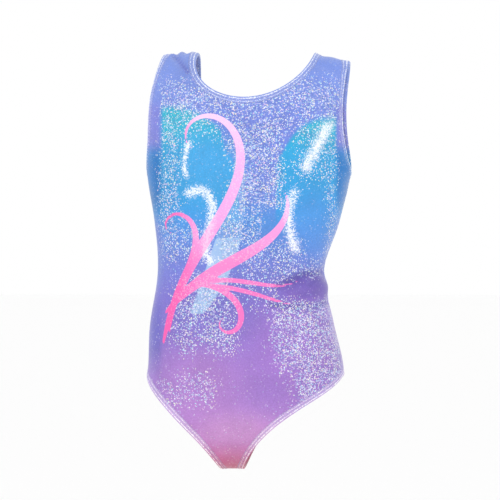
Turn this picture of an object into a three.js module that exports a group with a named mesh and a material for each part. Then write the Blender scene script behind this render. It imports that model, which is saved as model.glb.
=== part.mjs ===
// A child's sleeveless gymnastics leotard, standing open as it is worn.
// Millimetres, +Z up, front towards -Y, the wearer's left towards +X.
// The origin is midway between the two shoulder seams, on the line where the shoulders carry it.
import * as THREE from "three";

// ---- the body that the cloth is stretched on -------------------------------------------------
// Girth stations from shoulder to crotch. centre is the sideways lean of the standing figure,
// half is half the breadth, front and back are the depths from the side seam.
const SHOULDER = { level: 0, centre: 8, half: 101, front: 56, back: 54 };
const UPPER_CHEST = { level: -54, centre: -1, half: 103.5, front: 62, back: 60 };
const CHEST = { level: -120, centre: -0.5, half: 104, front: 66, back: 63 };
const RIB = { level: -172, centre: -2.5, half: 95, front: 62, back: 57 };
const WAIST = { level: -226, centre: -9, half: 85, front: 57, back: 53 };
const UPPER_HIP = { level: -278, centre: -8, half: 94, front: 60, back: 64 };
const HIP = { level: -332, centre: -4, half: 101, front: 62, back: 73 };
const GROIN = { level: -380, centre: -16, half: 101, front: 60, back: 70 };
const CROTCH = { level: -428, centre: -17, half: 98, front: 56, back: 62 };
const STATIONS = [SHOULDER, UPPER_CHEST, CHEST, RIB, WAIST, UPPER_HIP, HIP, GROIN, CROTCH];
const CHEST_SQUARENESS = 3;    // 2 is an ellipse, more is boxier
const HIP_SQUARENESS = 2.4;
const SHOULDER_RISE = 54;      // the height over which the front rolls back to the shoulder seam
const SHOULDER_ROLL = 86;      // the cloth's length round that roll
const SEAT_DROP = 50;          // the height over which the front rolls under to the crotch seam
const SEAT_ROLL = 84;          // the cloth's length round that roll
const SHOULDER_FALL_FROM = 42;     // sideways, where the shoulders start to round down
const LEFT_SHOULDER_FALL = 12.5;     // drop at the outer end of the wearer's left shoulder
const RIGHT_SHOULDER_FALL = 2;
const SECTION_ASPECT = 0.62;   // depth to breadth that the angle round the body is measured on

// ---- the cut -----------------------------------------------------------------------------------
const NECK_HALF_WIDTH = 60;
const FRONT_NECK_DEPTH = 48.3;
const BACK_NECK_DEPTH = 96;
const ARMHOLE_ANGLE = 18.2;    // degrees from the side seam to the straight edge of the armhole
const ARMHOLE_TURN_LEVEL = -74;    // where that edge starts to round under the arm
const UNDERARM_LEVEL = -124.6;
const LEG_TOP_LEVEL = -331.7;  // where the side seam ends at the hip
const CROTCH_HALF_WIDTH = 12;
const FRONT_LEG_HANDLES = [{ side: -4, level: -352 }, { side: -69, level: -382 }];
const BACK_LEG_HANDLES = [{ side: -9, level: -348 }, { side: -75, level: -372 }];

// ---- cloth, elastic and thread ------------------------------------------------------------------
const CLOTH = 1.0;             // shell and hem plies
const LINING_CLOTH = 0.6;
const GAP = 0.3;               // between pieces that are sewn face to face
const EDGE_GAP = 0.6;          // between a panel and the hem that continues it
const LINING_GAP = 0.95;
const GUSSET_GAP = 0.7;        // between the lining and the gusset that laps over it
const HEM_WIDTH = 7;
const ELASTIC_WIDTH = 5;
const ELASTIC_THICKNESS = 0.6;
const FOLD_ROUNDING = 0.4;     // of the hem's folded edge
const COVERSTITCH_WIDTH = 3.2;
const COVERSTITCH_INSET = 0.2; // from the raw edge of the inner ply
const COVERSTITCH_THICKNESS = 0.3;
const STITCH_GAP = 0.1 * HEM_WIDTH; // from the hem's inner ply, which twists more the wider it is
const SEAM_ALLOWANCE = 5;
const SEAM_THICKNESS = 1.0;
const SEAM_CLEARANCE = 1.0;    // from the panel's inside to the overlocked allowance
const GUSSET_LAP = 18;         // in front, over the lining's lower edge
const GUSSET_BACK_REACH = 60;  // along the cloth from the crotch seam
const HEM_CLEARANCE = 0.9;     // sideways, from a hem to what lies between two hems
const LINING_REACH = 0.06;     // how far into the outermost row of cloth the lining starts
const SIZE_LABEL = { width: 14, length: 20, thickness: 0.5, inset: 1.5 };
const CARE_LABEL = { width: 26, length: 22, thickness: 0.5, level: -308, angle: 40 };

// ---- how finely the cloth is divided --------------------------------------------------------------
const STRAP_COLUMNS = 5;
const STRAP_ROWS = 6;          // down to where the neck edge turns across the chest
const NECK_COLUMNS = 8;        // across the chest between the straps
const NECK_STEPS = 2 * STRAP_ROWS + NECK_COLUMNS;
const COLUMNS = 2 * STRAP_COLUMNS + NECK_COLUMNS;
const ARMHOLE_ROWS = 12;
const SIDE_ROWS = Math.round((UNDERARM_LEVEL - LEG_TOP_LEVEL) / 16);
const RIB_ROWS = 3;            // rows of the side seam that take up the armhole's curve
const LEG_ROWS = Math.round((LEG_TOP_LEVEL - CROTCH.level) / 9.6);
const GUSSET_COLUMNS = 6;
const LINING_ROWS_SHORT = Math.round(0.3 * LEG_ROWS); // above the crotch seam, where it ends

// ---- the worn surface: angle round the body and drop along the cloth ------------------------------
const HALF_PI = Math.PI / 2;
const BODY_DROP = -CROTCH.level - SEAT_DROP - SHOULDER_RISE;
const FULL_DROP = SHOULDER_ROLL + BODY_DROP + SEAT_ROLL;

const hermite = (a, b, ta, tb, t) => {
  const s = 1 - t;
  return a * s * s * (1 + 2 * t) + b * t * t * (3 - 2 * t) + ta * t * s * s - tb * t * t * s;
};

// One measure of the body at a level, smooth through the stations.
function measure(name, level) {
  const last = STATIONS.length - 1;
  let i = 0;
  while (i < last - 1 && level < STATIONS[i + 1].level) i += 1;
  const [a, b] = [STATIONS[i], STATIONS[i + 1]];
  const span = b.level - a.level;
  const slope = (k) => {
    const [p, q] = [STATIONS[Math.max(k - 1, 0)], STATIONS[Math.min(k + 1, last)]];
    return (q[name] - p[name]) / (q.level - p.level);
  };
  const t = Math.min(Math.max((level - a.level) / span, 0), 1);
  return hermite(a[name], b[name], slope(i) * span, slope(i + 1) * span, t);
}

const squareness = (level) => THREE.MathUtils.lerp(
  CHEST_SQUARENESS, HIP_SQUARENESS, THREE.MathUtils.smoothstep(-level, -CHEST.level, -WAIST.level));

// Level and depth share at a drop measured along the cloth from the shoulder seam.
function roll(drop) {
  if (drop < SHOULDER_ROLL) {
    const turn = HALF_PI * (1 - drop / SHOULDER_ROLL);
    return { level: -SHOULDER_RISE * (1 - Math.sin(turn)), depth: Math.cos(turn) };
  }
  const below = drop - SHOULDER_ROLL;
  if (below < BODY_DROP) return { level: -SHOULDER_RISE - below, depth: 1 };
  const turn = HALF_PI * (below - BODY_DROP) / SEAT_ROLL;
  return { level: CROTCH.level + SEAT_DROP * (1 - Math.sin(turn)), depth: Math.cos(turn) };
}

// The drop at a level, the other way round.
function dropAt(level) {
  if (level > -SHOULDER_RISE) {
    return SHOULDER_ROLL * (1 - Math.asin(1 + level / SHOULDER_RISE) / HALF_PI);
  }
  const seat = CROTCH.level + SEAT_DROP;
  if (level >= seat) return SHOULDER_ROLL - SHOULDER_RISE - level;
  const turn = Math.asin(Math.min((seat - level) / SEAT_DROP, 1));
  return SHOULDER_ROLL + BODY_DROP + SEAT_ROLL * turn / HALF_PI;
}

// A point of the worn surface. angle 0 is the front's middle, +90 degrees the left side seam.
function worn(angle, drop) {
  const { level, depth } = roll(drop);
  const n = squareness(level);
  const [s, c] = [Math.sin(angle), Math.cos(angle) / SECTION_ASPECT];
  const k = (Math.abs(s) ** n + Math.abs(c) ** n) ** (-1 / n);
  const side = measure("half", level) * s * k;
  const reach = measure(c > 0 ? "front" : "back", level) * depth;
  const fall = side > 0 ? LEFT_SHOULDER_FALL : RIGHT_SHOULDER_FALL;
  const fade = Math.max(1 - Math.abs(drop) / SHOULDER_ROLL, 0) ** 2;
  const outward = Math.max(Math.abs(side) - SHOULDER_FALL_FROM, 0);
  const rounded = (outward / (SHOULDER.half - SHOULDER_FALL_FROM)) ** 2;
  return new THREE.Vector3(
    measure("centre", level) + side, -reach * c * k, level - fall * fade * rounded);
}

// The point, its outward normal and the two directions along the cloth.
function frameAt([angle, drop]) {
  const [da, dd] = [0.004, 0.3];
  const alongAngle = worn(angle + da, drop).sub(worn(angle - da, drop)).divideScalar(2 * da);
  const alongDrop = worn(angle, drop + dd).sub(worn(angle, drop - dd)).divideScalar(2 * dd);
  const normal = alongDrop.clone().cross(alongAngle).normalize();
  return { point: worn(angle, drop), normal, alongAngle, alongDrop };
}

function lifted(place, height) {
  const { point, normal } = frameAt(place);
  return point.addScaledVector(normal, height);
}

// The angle at which the body is this far to the side at a level.
function angleAt(side, level, behind) {
  const n = squareness(level);
  const share = Math.min(Math.abs(side) / measure("half", level), 1);
  const depth = (1 - share ** n) ** (1 / n);
  const angle = Math.atan2(share, depth * SECTION_ASPECT) * Math.sign(side);
  return behind ? Math.sign(side || 1) * Math.PI - angle : angle;
}

// ---- the edges of the cut, as rings of [angle, drop] on their folds -----------------------------------
const steps = (count, make) => Array.from({ length: count + 1 }, (_, i) => make(i / count));

// Places along an edge at even distances over the body.
function evenly(count, edge) {
  const samples = 40 * count;
  const fine = steps(samples, edge);
  const run = [0];
  for (let i = 1; i <= samples; i += 1) {
    run.push(run[i - 1] + worn(...fine[i]).distanceTo(worn(...fine[i - 1])));
  }
  return steps(count, (t) => fine[run.findIndex((length) => length >= run[samples] * t * 0.99999)]);
}

// From the left shoulder down round the front or back neck to the right shoulder.
function neckEdge(behind) {
  const depth = behind ? BACK_NECK_DEPTH : FRONT_NECK_DEPTH;
  return evenly(NECK_STEPS, (t) => {
    const [side, level] = [NECK_HALF_WIDTH * Math.cos(Math.PI * t), -depth * Math.sin(Math.PI * t)];
    return [angleAt(side, level, behind), dropAt(level)];
  });
}

// From the shoulder down to the underarm, for one side, in front or behind.
function armholeEdge(sign, behind) {
  const [turn, end] = [dropAt(ARMHOLE_TURN_LEVEL), dropAt(UNDERARM_LEVEL)];
  const straight = turn / (turn + (end - turn) * HALF_PI);
  return evenly(ARMHOLE_ROWS, (t) => {
    const round = Math.max((t - straight) / (1 - straight), 0) * HALF_PI;
    const drop = t < straight ? turn * t / straight : turn + (end - turn) * Math.sin(round);
    const angle = HALF_PI - THREE.MathUtils.degToRad(ARMHOLE_ANGLE) * Math.cos(round);
    return [sign * (behind ? Math.PI - angle : angle), drop];
  });
}

// From the hip down to the crotch seam, for one side, in front or behind.
function legEdge(sign, behind) {
  const [upper, lower] = behind ? BACK_LEG_HANDLES : FRONT_LEG_HANDLES;
  const top = measure("half", LEG_TOP_LEVEL);
  const curve = new THREE.CubicBezierCurve(
    new THREE.Vector2(top, LEG_TOP_LEVEL), new THREE.Vector2(top + upper.side, upper.level),
    new THREE.Vector2(top + lower.side, lower.level),
    new THREE.Vector2(CROTCH_HALF_WIDTH, CROTCH.level));
  return evenly(LEG_ROWS, (t) => {
    const { x, y } = curve.getPoint(t);
    return [angleAt(sign * x, y, behind), t === 1 ? FULL_DROP : dropAt(y)];
  });
}

// A front edge and the back edge that meets it at both ends, as one closed ring.
const ring = (front, back) => [...front, ...back.slice(1, -1).reverse()];
const isBehind = (angle) => Math.abs(angle) > HALF_PI + 1e-6;

// An edge moved into the cloth by a width: each station steps square to the edge, away from the hole.
function movedIn(fold, width, hole) {
  const count = fold.length;
  return fold.map((place, i) => {
    const { point, normal, alongAngle, alongDrop } = frameAt(place);
    const ahead = worn(...fold[(i + 1) % count]);
    const behind = worn(...fold[(i + count - 1) % count]);
    const inward = normal.clone().cross(ahead.sub(behind)).normalize();
    if (inward.dot(point.clone().sub(hole)) < 0) inward.negate();
    const [aa, ad, dd] = [alongAngle.lengthSq(), alongAngle.dot(alongDrop), alongDrop.lengthSq()];
    const [pa, pd] = [alongAngle.dot(inward) * width, alongDrop.dot(inward) * width];
    const det = aa * dd - ad * ad;
    return [place[0] + (pa * dd - pd * ad) / det, place[1] + (pd * aa - pa * ad) / det];
  });
}

const EDGES = {
  neck: { fold: ring(neckEdge(false), neckEdge(true)) },
  armhole_left: { fold: ring(armholeEdge(1, false), armholeEdge(1, true)) },
  armhole_right: { fold: ring(armholeEdge(-1, false), armholeEdge(-1, true)) },
  leg_left: { fold: ring(legEdge(1, false), legEdge(1, true)) },
  leg_right: { fold: ring(legEdge(-1, false), legEdge(-1, true)) },
};
for (const edge of Object.values(EDGES)) {
  const hole = edge.fold.reduce((sum, place) => sum.add(worn(...place)), new THREE.Vector3());
  hole.divideScalar(edge.fold.length);
  edge.at = (width) => movedIn(edge.fold, width, hole);
  edge.panel = edge.at(HEM_WIDTH + EDGE_GAP);
}

// ---- solids ----------------------------------------------------------------------------------------
function solid(points, faces) {
  const geometry = new THREE.BufferGeometry();
  geometry.setAttribute("position", new THREE.Float32BufferAttribute(
    points.flatMap((p) => [p.x, p.y, p.z]), 3));
  geometry.setIndex(faces.flat());
  geometry.computeVertexNormals();
  return geometry;
}

const quad = (a, b, c, d) => [[a, b, c], [a, c, d]];

// A sheet of cloth: rows of places, empty where it is cut away, between two heights off the worn
// surface. Every edge that only one square of cloth has gets a wall.
function sheet(rows, outer, inner) {
  const places = rows.flat();
  const kept = places.map((place, i) => (place ? i : -1)).filter((i) => i >= 0);
  const number = new Map(kept.map((i, k) => [i, k]));
  const points = [outer, inner].flatMap((h) => kept.map((i) => lifted(places[i], h)));
  const width = rows[0].length;
  const faces = [];
  const walls = new Map();
  for (let i = 0; i + width < places.length; i += 1) {
    const square = [i, i + 1, i + width + 1, i + width].map((k) => number.get(k));
    if ((i + 1) % width === 0 || square.includes(undefined)) continue;
    const [a, b, c, d] = square;
    const [e, f, g, h] = square.map((k) => k + kept.length);
    faces.push(...quad(a, b, c, d), ...quad(e, h, g, f));
    for (const [p, q] of [[a, b], [b, c], [c, d], [d, a]]) {
      if (!walls.delete(`${q} ${p}`)) walls.set(`${p} ${q}`, [p, q]);
    }
  }
  for (const [p, q] of walls.values()) {
    faces.push(...quad(p, p + kept.length, q + kept.length, q));
  }
  return outward(solid(points, faces));
}

// A band that runs round an edge with one section: [distance in from the fold, height] corners.
// The section lies square on the straight line from the fold to the stitched side of the hem.
function band(edge, section) {
  const stitched = edge.at(HEM_WIDTH).map(frameAt);
  const folds = edge.fold.map(frameAt);
  const rails = section.map(([width, height]) => folds.map((fold, i) => {
    const share = width / HEM_WIDTH;
    const normal = fold.normal.clone().lerp(stitched[i].normal, share).normalize();
    return fold.point.clone().lerp(stitched[i].point, share).addScaledVector(normal, height);
  }));
  const [m, n] = [edge.fold.length, section.length];
  const points = rails.flat();
  const faces = [];
  for (let j = 0; j < n; j += 1) {
    for (let i = 0; i < m; i += 1) {
      const [k, l] = [(i + 1) % m, (j + 1) % n];
      faces.push(...quad(j * m + i, j * m + k, l * m + k, l * m + i));
    }
  }
  return outward(solid(points, faces));
}

// Turns the faces round if the solid came out inside out.
function outward(geometry) {
  const [position, index] = [geometry.attributes.position, geometry.index];
  const [a, b, c] = [new THREE.Vector3(), new THREE.Vector3(), new THREE.Vector3()];
  let volume = 0;
  for (let i = 0; i < index.count; i += 3) {
    a.fromBufferAttribute(position, index.getX(i));
    b.fromBufferAttribute(position, index.getX(i + 1));
    c.fromBufferAttribute(position, index.getX(i + 2));
    volume += a.dot(b.cross(c)) / 6;
  }
  if (volume < 0) index.array.reverse();
  return geometry;
}

// ---- the panels ---------------------------------------------------------------------------------------
// Each panel is a grid of places. Its two straps lie between the armholes and the sides of the neck,
// its chest hangs from the straps and the neck edge between them, and its leg part narrows from the
// hips to the crotch seam.
const mix = (a, b, t) => [a[0] + (b[0] - a[0]) * t, a[1] + (b[1] - a[1]) * t];

// A patch of places filled in between four edges that share their corners.
function patch(top, bottom, left, right) {
  const [m, n] = [left.length - 1, top.length - 1];
  return left.map((_, i) => top.map((_, j) => {
    const [u, v] = [j / n, i / m];
    const ends = mix(left[i], right[i], u);
    const fill = mix(top[j], bottom[j], v);
    const corner = mix(mix(top[0], top[n], u), mix(bottom[0], bottom[n], u), v);
    return [ends[0] + fill[0] - corner[0], ends[1] + fill[1] - corner[1]];
  }));
}

function panelRows(behind) {
  // Behind, angles are measured from the back's middle while the panel is filled in.
  const turned = ([angle, drop]) => (behind ? [angle - Math.sign(angle) * Math.PI, drop]
    : [angle, drop]);
  const half = (edge, count) => {
    const places = edge.panel;
    if (!behind) return places.slice(0, count + 1);
    const ends = [places[0], places[count]].map(([angle, drop]) => [-angle, Math.abs(drop)]);
    return [ends[0], ...places.slice(count + 1).reverse().map(turned), ends[1]];
  };
  const neck = half(EDGES.neck, NECK_STEPS);
  const arms = [EDGES.armhole_left, EDGES.armhole_right].map((edge) => half(edge, ARMHOLE_ROWS));
  const legs = [EDGES.leg_left, EDGES.leg_right].map((edge) => half(edge, LEG_ROWS));
  const line = (a, b, count) => steps(count, (t) => mix(a, b, t));

  const straps = arms.map((arm, side) => {
    const inner = side === 0 ? neck.slice(0, STRAP_ROWS + 1)
      : neck.slice(-STRAP_ROWS - 1).reverse();
    const outer = arm.slice(0, STRAP_ROWS + 1);
    return patch(line(outer[0], inner[0], STRAP_COLUMNS),
      line(outer[STRAP_ROWS], inner[STRAP_ROWS], STRAP_COLUMNS), outer, inner);
  });
  const cut = Array(NECK_COLUMNS - 1).fill(null);
  const grid = straps[0].slice(0, -1).map((row, i) => [...row, ...cut, ...straps[1][i].toReversed()]);

  const underarm = arms.map((arm) => arm[ARMHOLE_ROWS]);
  const hips = legs.map((leg) => leg[0]);
  const sides = [0, 1].map((side) => line(underarm[side], hips[side], SIDE_ROWS));
  const [left, right] = [0, 1].map((side) =>
    [...arms[side].slice(STRAP_ROWS), ...sides[side].slice(1, RIB_ROWS + 1)]);
  const chestTop = [...straps[0][STRAP_ROWS].slice(0, -1), ...neck.slice(STRAP_ROWS, -STRAP_ROWS),
    ...straps[1][STRAP_ROWS].slice(0, -1).reverse()];
  grid.push(...patch(chestTop, line(left.at(-1), right.at(-1), COLUMNS), left, right));
  for (let k = RIB_ROWS + 1; k < SIDE_ROWS; k += 1) {
    grid.push(line(sides[0][k], sides[1][k], COLUMNS));
  }
  for (let k = 0; k <= LEG_ROWS; k += 1) {
    grid.push(line(legs[0][k], legs[1][k], COLUMNS));
  }
  // A hair of room is left at the seams, where the other panel starts.
  const hair = GAP / 2;
  const sideHair = hair / HIP.front;
  return grid.map((row) => row.map((place) => {
    if (!place) return null;
    const angle = THREE.MathUtils.clamp(place[0], -HALF_PI + sideHair, HALF_PI - sideHair);
    const drop = THREE.MathUtils.clamp(place[1], hair, FULL_DROP - hair);
    return [behind ? Math.PI + angle : angle, drop];
  }));
}

const FRONT = panelRows(false);
const BACK = panelRows(true);

// ---- assembling --------------------------------------------------------------------------------------
const leotard = new THREE.Group();

function piece(name, geometry, colour, roughness = 0.5, metalness = 0) {
  const material = new THREE.MeshStandardMaterial({ color: colour, roughness, metalness });
  const mesh = new THREE.Mesh(geometry, material);
  mesh.name = name;
  leotard.add(mesh);
  return mesh;
}

const SHELL_COLOUR = 0x7c95dc;
const HEM_COLOUR = 0x8a8fdc;
const LINING_COLOUR = 0xe9d9d2;
const ELASTIC_COLOUR = 0xf2f1ec;
const THREAD_COLOUR = 0xa7a4e6;
const LABEL_COLOUR = 0xfaf9f6;

piece("front_panel", sheet(FRONT, CLOTH / 2, -CLOTH / 2), SHELL_COLOUR, 0.35, 0.1);
piece("back_panel", sheet(BACK, CLOTH / 2, -CLOTH / 2), SHELL_COLOUR, 0.35, 0.1);

// The lining lies behind the front panel and stops a little way in from each of its edges.
function drawnIn(rows, share) {
  const at = (i, j) => (rows[i] && rows[i][j]) || null;
  const around = [-1, 0, 1].flatMap((i) => [-1, 0, 1].map((j) => [i, j]));
  const inside = (i, j) => around.every(([di, dj]) => at(i + di, j + dj));
  return rows.map((row, i) => row.map((place, j) => {
    if (!place || inside(i, j)) return place;
    const near = around.map(([di, dj]) => [i + di, j + dj]).filter(([k, l]) => inside(k, l));
    if (near.length === 0) return place;
    const sum = near.reduce((all, [k, l]) => [all[0] + at(k, l)[0], all[1] + at(k, l)[1]], [0, 0]);
    return mix(place, [sum[0] / near.length, sum[1] / near.length], share);
  }));
}

const liningTop = -CLOTH / 2 - LINING_GAP;
const lining = drawnIn(FRONT.slice(0, -LINING_ROWS_SHORT), LINING_REACH);
piece("front_lining", sheet(lining, liningTop, liningTop - LINING_CLOTH), LINING_COLOUR, 0.8);

// Each edge is turned over its elastic: outer ply, fold, inner ply, and a coverstitch under them.
const elasticTop = -CLOTH / 2 - GAP;
const innerTop = elasticTop - ELASTIC_THICKNESS - GAP;
const innerBottom = innerTop - CLOTH;
const hemSection = [
  [HEM_WIDTH, CLOTH / 2], [FOLD_ROUNDING, CLOTH / 2], [0, 0], [0, innerBottom + CLOTH / 2],
  [FOLD_ROUNDING, innerBottom], [HEM_WIDTH, innerBottom], [HEM_WIDTH, innerTop],
  [CLOTH, innerTop], [CLOTH, -CLOTH / 2], [HEM_WIDTH, -CLOTH / 2]];
const box = (near, far, top, bottom) => [[near, top], [far, top], [far, bottom], [near, bottom]];
const elasticStart = CLOTH + GAP;
const elasticSection = box(
  elasticStart, elasticStart + ELASTIC_WIDTH, elasticTop, elasticTop - ELASTIC_THICKNESS);
const stitchTop = innerBottom - STITCH_GAP;
const stitchEnd = HEM_WIDTH - COVERSTITCH_INSET;
const stitchSection = box(
  stitchEnd - COVERSTITCH_WIDTH, stitchEnd, stitchTop, stitchTop - COVERSTITCH_THICKNESS);

for (const [name, edge] of Object.entries(EDGES)) {
  const [hole, side] = name.split("_");
  const called = (what) => (side ? `${hole}_${what}_${side}` : `${hole}_${what}`);
  piece(called("hem"), band(edge, hemSection), HEM_COLOUR, 0.35, 0.1);
  piece(called("elastic"), band(edge, elasticSection), ELASTIC_COLOUR, 0.7);
  piece(called("coverstitch"), band(edge, stitchSection), THREAD_COLOUR, 0.6);
}

// Overlocked seam allowances inside: side seams pressed to the back, shoulder and crotch seams too.
const seamTop = -CLOTH / 2 - SEAM_CLEARANCE;
const seamBottom = seamTop - SEAM_THICKNESS;
const sideAllowance = SEAM_ALLOWANCE / HIP.back;
const seamStart = dropAt(UNDERARM_LEVEL) + HEM_WIDTH + 2 * HEM_CLEARANCE;
const seamEnd = dropAt(LEG_TOP_LEVEL) - HEM_WIDTH - 2 * HEM_CLEARANCE;
for (const [side, sign] of [["left", 1], ["right", -1]]) {
  const rows = steps(SIDE_ROWS, (t) => [0, 1].map((w) =>
    [sign * (HALF_PI + sideAllowance * w), THREE.MathUtils.lerp(seamStart, seamEnd, t)]));
  piece(`side_seam_${side}`, sheet(rows, seamTop, seamBottom), THREAD_COLOUR, 0.7);

  const neck = EDGES.neck.at(HEM_WIDTH + HEM_CLEARANCE);
  const arm = EDGES[`armhole_${side}`].at(HEM_WIDTH + HEM_CLEARANCE);
  const inner = sign > 0 ? neck[0][0] : neck[NECK_STEPS][0];
  const strapRows = [0, 1].map((w) => steps(STRAP_COLUMNS, (t) =>
    [THREE.MathUtils.lerp(arm[0][0], inner, t), -SEAM_ALLOWANCE * w]));
  piece(`shoulder_seam_${side}`, sheet(strapRows, seamTop, seamBottom), THREAD_COLOUR, 0.7);
}

// The gusset lining is an hourglass between the leg hems, across the crotch seam.
const legLeft = EDGES.leg_left.at(HEM_WIDTH + HEM_CLEARANCE);
const legRight = EDGES.leg_right.at(HEM_WIDTH + HEM_CLEARANCE);
const gussetTop = liningTop - LINING_CLOTH - GUSSET_GAP;
const gussetFrontReach = FULL_DROP - lining.at(-1)[0][1] + GUSSET_LAP;
const gussetRows = [];
for (let k = 0; k < legLeft.length; k += 1) {
  const behind = isBehind(legLeft[k][0]);
  const under = behind ? 2 * FULL_DROP - legLeft[k][1] : legLeft[k][1];
  const reach = Math.abs(under - FULL_DROP);
  const limit = behind ? GUSSET_BACK_REACH : gussetFrontReach;
  if (k > 0 && reach < limit) {
    const fold = (angle) => (behind ? Math.sign(angle) * Math.PI - angle : angle);
    gussetRows.push(steps(GUSSET_COLUMNS, (t) => [
      THREE.MathUtils.lerp(fold(legLeft[k][0]), fold(legRight[k][0]), t), under]));
  }
}
piece("gusset_lining", sheet(gussetRows, gussetTop, gussetTop - LINING_CLOTH), LINING_COLOUR, 0.85);

// ---- the labels, each sewn along one edge and free to turn on that line of stitching ----------------------
function label(name, size, hinge, along, hang) {
  const face = along.clone().cross(hang).normalize();
  const geometry = new THREE.BoxGeometry(size.width, size.length, size.thickness);
  geometry.translate(0, size.length / 2, 0);
  geometry.applyMatrix4(new THREE.Matrix4().makeBasis(along, hang, face).setPosition(hinge));
  return piece(name, geometry, LABEL_COLOUR, 0.8);
}

const labelHeight = stitchTop - COVERSTITCH_THICKNESS - GAP - SIZE_LABEL.thickness / 2;
const neckStitch = EDGES.neck.at(HEM_WIDTH - SIZE_LABEL.inset)[NECK_STEPS * 1.5];
label("size_label", SIZE_LABEL, lifted(neckStitch, labelHeight),
  new THREE.Vector3(1, 0, 0), new THREE.Vector3(0, 0, -1));

const careDrop = dropAt(CARE_LABEL.level);
const careHeight = seamBottom - 2 * GAP - CARE_LABEL.thickness;
const carePlace = (offset) => lifted([HALF_PI + sideAllowance / 2, careDrop + offset], careHeight);
const careAlong = carePlace(-1).sub(carePlace(1)).normalize();
const careLean = THREE.MathUtils.degToRad(CARE_LABEL.angle);
const careHang = new THREE.Vector3(-Math.sin(careLean), Math.cos(careLean), 0);
careHang.addScaledVector(careAlong, -careHang.dot(careAlong)).normalize();
label("care_label", CARE_LABEL, carePlace(0), careAlong, careHang);

export default leotard;
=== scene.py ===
"""A child's sleeveless gymnastics leotard in printed foil spandex, shown as it is worn."""

import math

import bpy
import numpy as np
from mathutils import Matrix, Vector


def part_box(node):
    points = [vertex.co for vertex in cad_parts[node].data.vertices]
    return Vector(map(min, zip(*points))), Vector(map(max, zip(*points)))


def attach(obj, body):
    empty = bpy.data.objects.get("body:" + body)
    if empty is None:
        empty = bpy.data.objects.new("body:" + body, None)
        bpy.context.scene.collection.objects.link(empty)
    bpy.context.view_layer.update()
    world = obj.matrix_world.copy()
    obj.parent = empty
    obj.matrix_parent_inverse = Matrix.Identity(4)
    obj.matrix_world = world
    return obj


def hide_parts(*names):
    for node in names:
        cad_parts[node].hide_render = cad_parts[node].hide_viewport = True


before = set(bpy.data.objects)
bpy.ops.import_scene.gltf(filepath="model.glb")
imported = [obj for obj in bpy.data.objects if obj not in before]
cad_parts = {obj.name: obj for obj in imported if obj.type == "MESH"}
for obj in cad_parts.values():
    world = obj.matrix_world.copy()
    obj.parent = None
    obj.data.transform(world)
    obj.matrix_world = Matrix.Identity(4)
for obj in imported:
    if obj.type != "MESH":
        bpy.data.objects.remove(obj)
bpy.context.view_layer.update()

# ---- camera, floor and light ----
# The leotard is looked at level, from a few degrees to the wearer's left.
TURN = math.radians(5)
AIM = Vector((0.0005, 0, -0.2035))
bpy.ops.object.camera_add(location=AIM + 3.5 * Vector((math.sin(TURN), -math.cos(TURN), 0)))
camera = bpy.context.object
camera.rotation_euler = (math.pi / 2, 0, TURN)
camera.data.lens = 244.6
camera.data.clip_end = 100
bpy.context.scene.camera = camera
bpy.context.scene.view_settings.view_transform = "Standard"

bpy.ops.mesh.primitive_plane_add(size=80, location=(0, 0, -0.78))
floor = bpy.context.object
floor.name = "floor"
floor_paint = bpy.data.materials.new("floor")
floor_paint.use_nodes = True
paint_inputs = floor_paint.node_tree.nodes["Principled BSDF"].inputs
paint_inputs["Base Color"].default_value = (0.98, 0.98, 0.98, 1)
paint_inputs["Roughness"].default_value = 0.9
floor.data.materials.append(floor_paint)

world = bpy.data.worlds.new("studio")
bpy.context.scene.world = world
world.use_nodes = True
world.node_tree.nodes["Background"].inputs["Color"].default_value = (1, 1, 1, 1)
world.node_tree.nodes["Background"].inputs["Strength"].default_value = 1.0


def softbox(name, place, aim, size, power):
    bpy.ops.object.light_add(type="AREA", location=place)
    light = bpy.context.object
    light.name = name
    light.data.shape = "RECTANGLE"
    light.data.size, light.data.size_y = size
    light.data.energy = power
    light.rotation_euler = (Vector(aim) - Vector(place)).to_track_quat("-Z", "Y").to_euler()


softbox("key", (-1.1, -1.9, 0.9), (0, 0, -0.15), (0.7, 0.9), 7)
softbox("fill", (1.6, -1.5, 0.3), (0, 0, -0.2), (0.5, 1.2), 4)


# ---- the front panel ----
# One layer of foil-printed spandex, stretched over the body from the shoulder seams to the
# crotch seam. Its edges are turned over elastic, and it is sewn to the back panel at the sides.

# The worn surface: angle round the body (0 in front, 90 degrees at the wearer's left side seam)
# and drop along the cloth from the shoulder seam. All lengths are in millimetres.
UNDERARM_LEVEL, LEG_TOP_LEVEL, CROTCH_LEVEL = -124.6, -331.7, -428.0
LEVELS = np.array([0, -54, -120, -172, -226, -278, -332, -380, CROTCH_LEVEL])
GIRTH = {
    "centre": np.array([8, -1, -0.5, -2.5, -9, -8, -4, -16, -17]),
    "half": np.array([101, 103.5, 104, 95, 85, 94, 101, 101, 98]),
    "front": np.array([56, 62, 66, 62, 57, 60, 62, 60, 56.0]),
    "back": np.array([54, 60, 63, 57, 53, 64, 73, 70, 62.0]),
}
SHOULDER_RISE, SHOULDER_ROLL, SEAT_DROP, SEAT_ROLL = 54, 86, 50, 84
BODY_DROP = -CROTCH_LEVEL - SEAT_DROP - SHOULDER_RISE
FULL_DROP = SHOULDER_ROLL + BODY_DROP + SEAT_ROLL
HALF_PI = math.pi / 2
CLOTH = 1.0
# How deep a cross-section is drawn before it is squared, and the millimetres round the side to a radian.
SECTION_DEPTH, SIDE_RADIUS = 0.62, 62


def smooth(value, low, high):
    t = np.clip((value - low) / (high - low), 0, 1)
    return t * t * (3 - 2 * t)


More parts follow.
